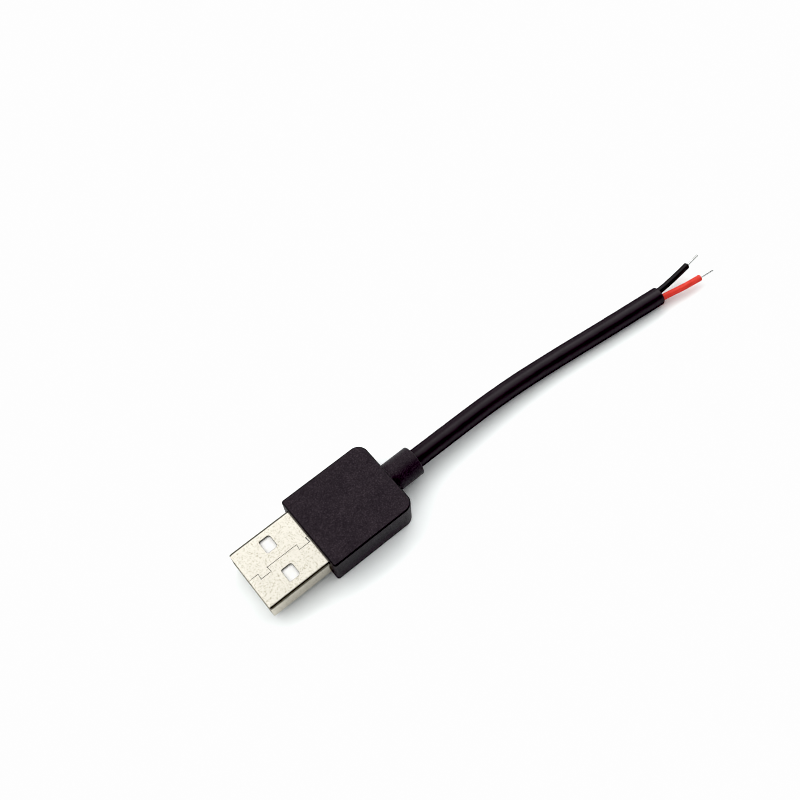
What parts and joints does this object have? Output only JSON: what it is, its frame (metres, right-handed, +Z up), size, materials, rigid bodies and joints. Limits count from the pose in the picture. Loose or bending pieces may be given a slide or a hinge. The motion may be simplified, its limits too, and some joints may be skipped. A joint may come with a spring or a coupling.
{
  "type": "usb-a pigtail cable",
  "caption": "Short USB-A plug lead: flat black moulded plug with a round cord that ends in two stripped and tinned power wires, red and black.",
  "frame": {"origin": "on the table under the middle of the plug's box, from its mouth to the end of its collar", "axes": "+X along the plug from its mouth towards the cord, +Z up out of the seam side, +Y to the red contact's side"},
  "size_m": [0.1043, 0.0148, 0.007],
  "materials": {
    "nickel_plate": "satin nickel plate",
    "white_plastic": "matt",
    "gold_contact": "gold flash",
    "black_moulding": "fine matt",
    "black_jacket": "satin",
    "red_insulation": "satin",
    "black_insulation": "satin",
    "tinned_wire": "tinned copper",
    "solder": "bright solder"
  },
  "bodies": {
    "root": {"shell": "nickel_plate", "insulator": "white_plastic", "overmould": "black_moulding", "jacket": "black_jacket", "core_red": "red_insulation", "core_black": "black_insulation", "conductor_red": "tinned_wire", "conductor_black": "tinned_wire", "contact_vbus": "gold_contact", "contact_d_minus": "gold_contact", "contact_d_plus": "gold_contact", "contact_gnd": "gold_contact", "solder_vbus": "solder", "solder_gnd": "solder"}
  },
  "joints": []
}
